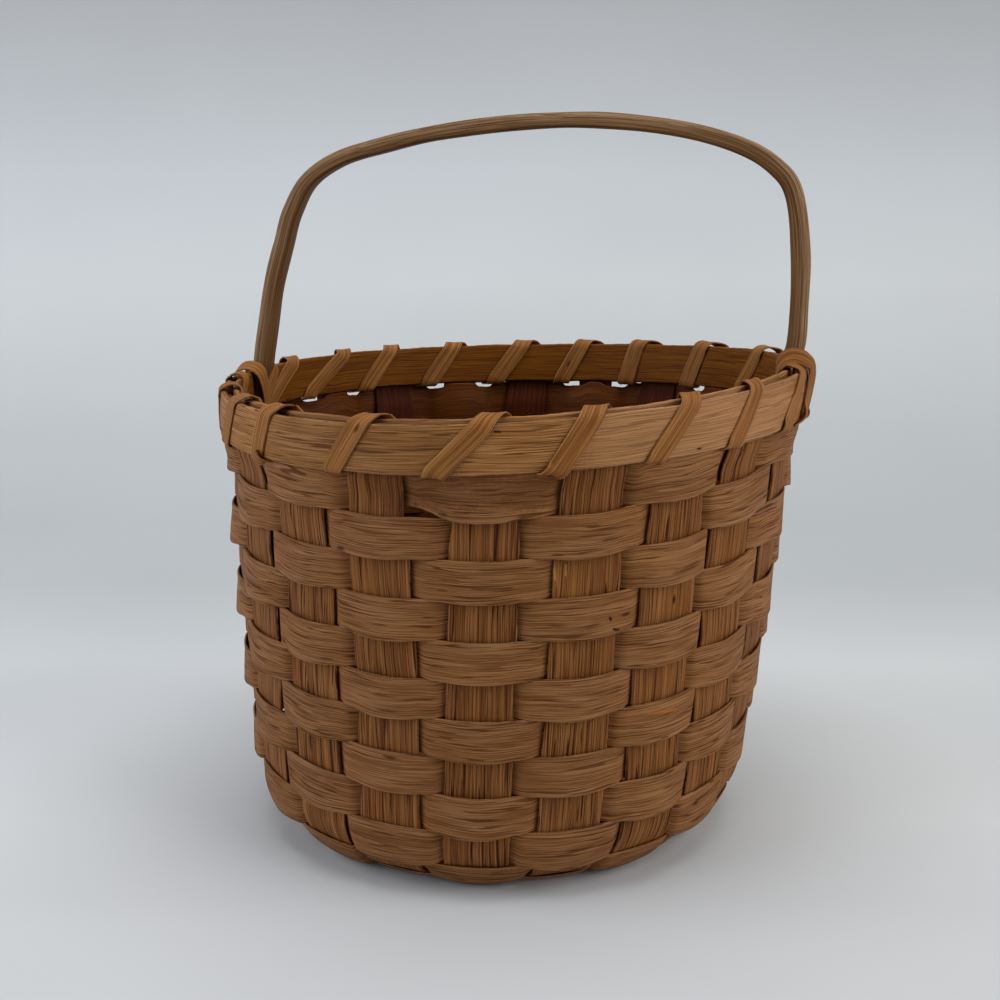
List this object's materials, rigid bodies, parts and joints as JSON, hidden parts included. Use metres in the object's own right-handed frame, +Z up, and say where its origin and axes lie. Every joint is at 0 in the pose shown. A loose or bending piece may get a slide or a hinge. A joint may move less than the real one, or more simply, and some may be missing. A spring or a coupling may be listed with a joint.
{
  "type": "berry basket",
  "caption": "Round berry basket of plain woven wood splints with a lashed double-hoop rim and one fixed bent handle over the top.",
  "frame": {"origin": "middle of the footprint of the whole basket, on the plane that it stands on", "axes": "+Z up through the middle of the rim, +X to the right as the basket is seen from the front, so that the handle runs nearly along X, turned 12.2 degrees clockwise seen from above, and -Y towards the front"},
  "size_m": [0.204, 0.2034, 0.2409],
  "materials": {
    "stake_splint": "thin split wood, aged brown, matt",
    "weaver_splint": "thin split wood, aged brown, matt",
    "rim_splint": "thicker split wood, golden brown, matt",
    "lashing_splint": "narrow split wood, golden brown, matt",
    "handle_wood": "bent hardwood, dark brown, satin"
  },
  "bodies": {
    "root": {"base_row_01": "weaver_splint", "base_row_02": "weaver_splint", "base_row_03": "weaver_splint", "base_row_04": "weaver_splint", "base_row_05": "weaver_splint", "base_row_06": "weaver_splint", "handle": "handle_wood", "handle_binding_left": "lashing_splint", "handle_binding_right": "lashing_splint", "long_splint_01": "stake_splint", "long_splint_02": "stake_splint", "long_splint_03": "stake_splint", "long_splint_04": "stake_splint", "long_splint_05": "stake_splint", "long_splint_06": "stake_splint", "long_splint_07": "stake_splint", "long_splint_08": "stake_splint", "long_splint_09": "stake_splint", "long_splint_10": "stake_splint", "rim_inner_hoop_back": "rim_splint", "rim_inner_hoop_front": "rim_splint", "rim_lashing": "lashing_splint", "rim_outer_hoop": "rim_splint", "turn_row_01": "weaver_splint", "turn_row_02": "weaver_splint", "turn_row_03": "weaver_splint", "wall_row_01": "weaver_splint", "wall_row_02": "weaver_splint", "wall_row_03": "weaver_splint", "wall_row_04": "weaver_splint", "wall_row_05": "weaver_splint", "wall_row_06": "weaver_splint", "wall_row_07": "weaver_splint", "wall_row_08": "weaver_splint", "wall_row_09": "weaver_splint"}
  },
  "joints": []
}
